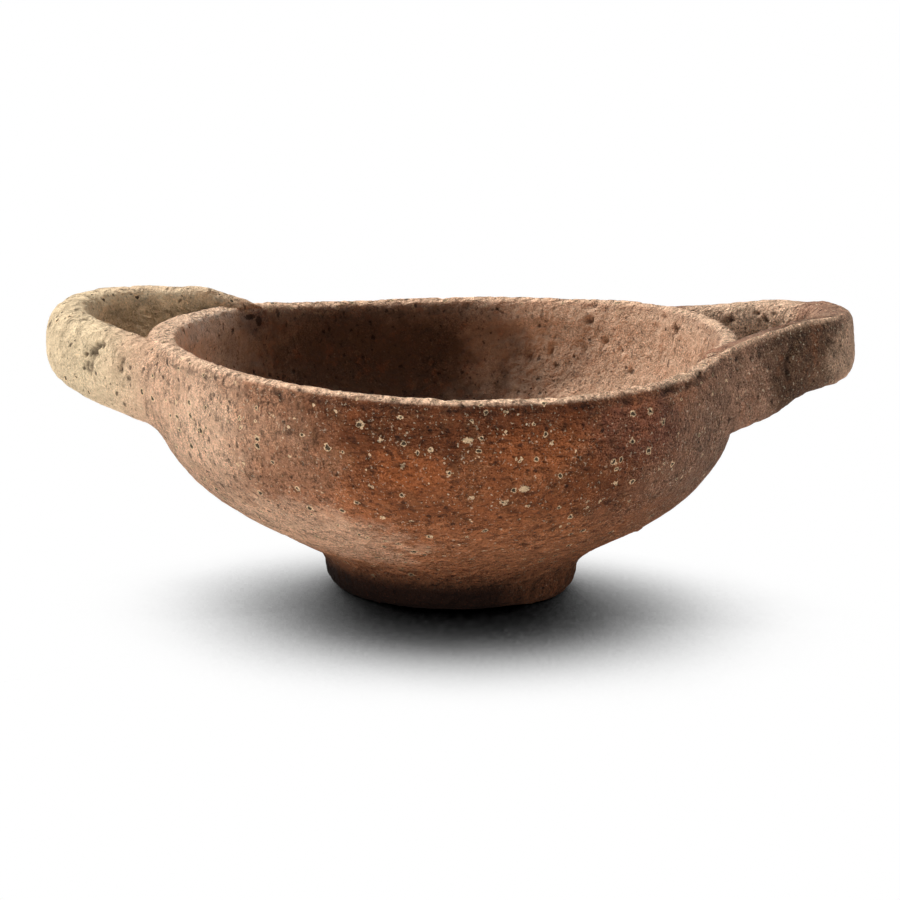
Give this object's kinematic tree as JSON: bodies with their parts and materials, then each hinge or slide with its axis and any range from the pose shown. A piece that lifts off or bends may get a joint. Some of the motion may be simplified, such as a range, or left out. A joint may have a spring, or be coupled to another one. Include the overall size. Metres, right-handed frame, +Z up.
{
  "type": "two-handled cup",
  "caption": "Shallow unglazed terracotta drinking cup with a rounded lip, a low ring foot and level strap loop handles luted to its sides at the rim.",
  "frame": {"origin": "on the table, at the centre of the ring foot's base, which is also the bottom centre of the whole cup within 1 mm", "axes": "+Z up, +X towards the right handle as the picture shows it, -Y towards the viewer of the picture"},
  "size_m": [0.206, 0.1506, 0.0705],
  "materials": {
    "bowl_clay": "matte, unglazed, gritty orange-brown earthenware",
    "foot_clay": "matte, worn brown earthenware",
    "luting_clay": "matte smeared slip, fired with the body",
    "left_handle_clay": "matte cream-buff earthenware",
    "right_handle_clay": "matte grey-brown earthenware"
  },
  "bodies": {
    "root": {"bowl": "bowl_clay", "foot_ring": "foot_clay", "foot_luting": "luting_clay", "left_handle": "left_handle_clay", "right_handle": "right_handle_clay", "left_front_luting": "luting_clay", "left_rear_luting": "luting_clay", "right_front_luting": "luting_clay", "right_rear_luting": "luting_clay"}
  },
  "joints": []
}
